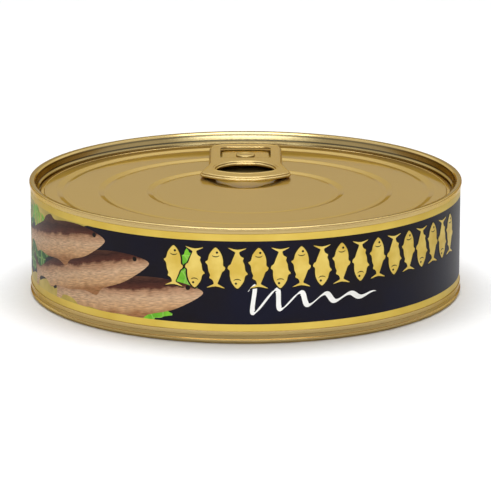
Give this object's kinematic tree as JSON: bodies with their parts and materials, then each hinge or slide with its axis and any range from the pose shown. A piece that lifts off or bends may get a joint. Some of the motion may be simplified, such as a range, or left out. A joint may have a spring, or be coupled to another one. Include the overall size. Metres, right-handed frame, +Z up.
{
  "type": "round fish tin with ring-pull lid",
  "caption": "Low round fish tin with a gold easy-open lid, stepped panel, riveted ring-pull tab and dark paper label with gold edge bands.",
  "frame": {"origin": "centre of the base, on the plane that the tin stands on", "axes": "+Z up through the lid; +Y from the can's axis towards the pull tab's nose; -Y is the front of the label"},
  "size_m": [0.1024, 0.1024, 0.0269],
  "materials": {
    "can_metal": "gold-lacquered tinplate, glossy",
    "lid_metal": "gold-lacquered tinplate, satin gloss",
    "tab_metal": "gold-lacquered tinplate, satin gloss",
    "label_paper": "coated paper, semi-gloss print"
  },
  "bodies": {
    "root": {"can_body": "can_metal", "lid_end": "lid_metal", "tear_panel": "lid_metal", "pull_tab": "tab_metal", "label": "label_paper"}
  },
  "joints": []
}
